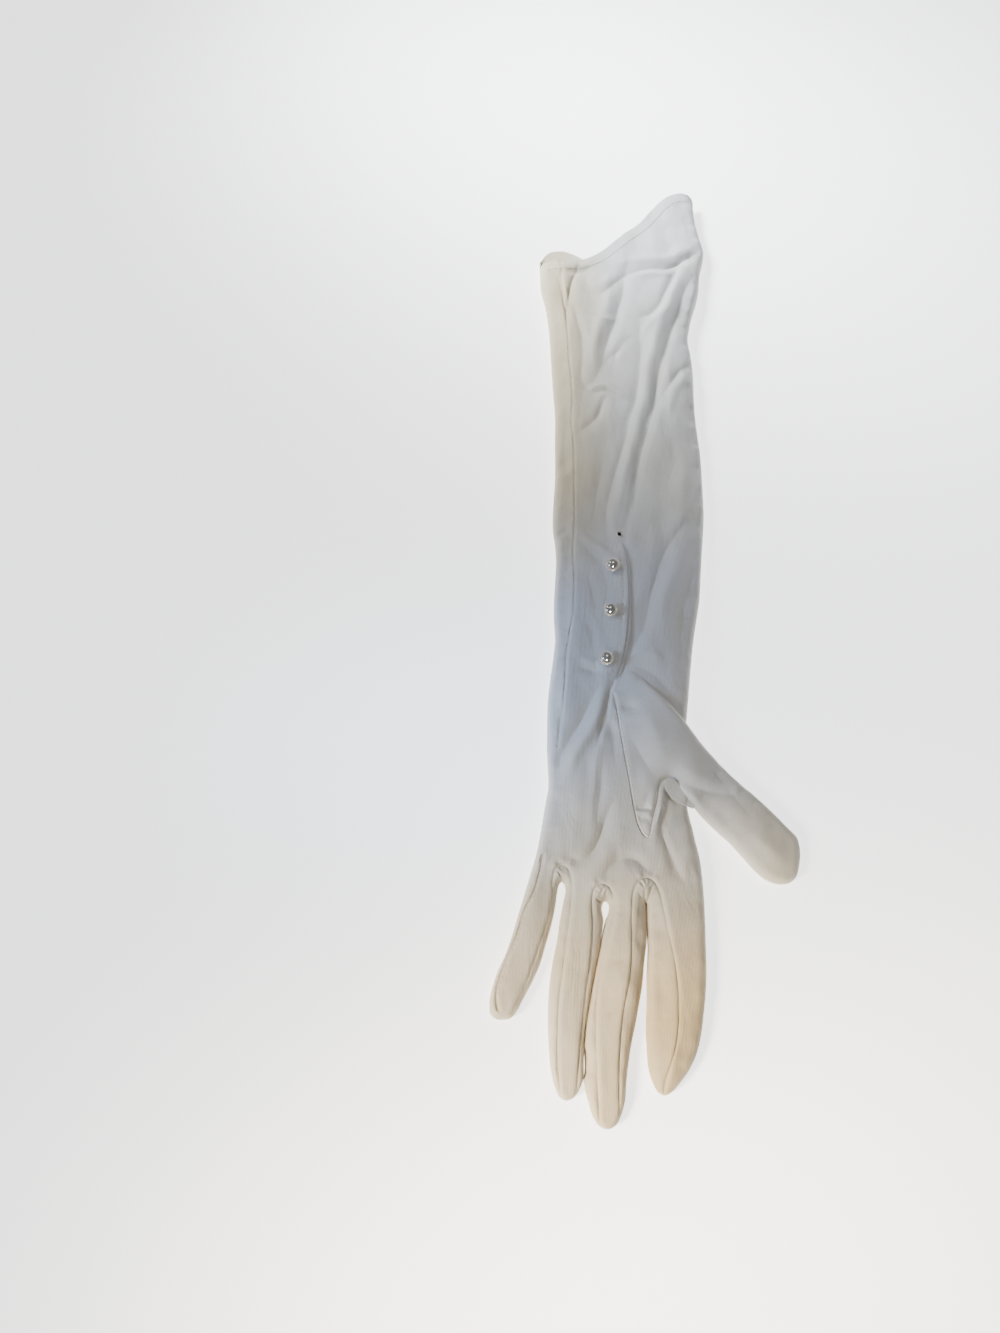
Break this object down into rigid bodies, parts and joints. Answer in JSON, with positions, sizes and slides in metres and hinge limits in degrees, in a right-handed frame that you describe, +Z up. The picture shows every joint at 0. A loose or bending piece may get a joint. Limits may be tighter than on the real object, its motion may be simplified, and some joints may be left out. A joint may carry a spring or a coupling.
{
  "type": "evening glove",
  "caption": "Elbow-length left-hand evening glove of ivory knitted nylon, lying palm up, with a buttoned wrist placket and pearl buttons in metal cups.",
  "frame": {"origin": "middle of the laid glove's footprint, on the surface it lies on", "axes": "+Z up from the surface, +Y from the fingers to the cuff, +X to the thumb's side"},
  "size_m": [0.1286, 0.4486, 0.0159],
  "materials": {
    "cloth": "soft satin tricot knit",
    "button_metal": "polished, slightly tarnished",
    "pearl": "pearl lustre"
  },
  "bodies": {
    "root": {"trank": "cloth", "thumb": "cloth", "thumb_quirk": "cloth", "fourchette_little_ring": "cloth", "fourchette_ring_middle": "cloth", "fourchette_middle_index": "cloth", "placket_band": "cloth", "button_1_cup": "button_metal", "button_1_pearl": "pearl", "button_2_cup": "button_metal", "button_2_pearl": "pearl", "button_3_cup": "button_metal", "button_3_pearl": "pearl"}
  },
  "joints": []
}
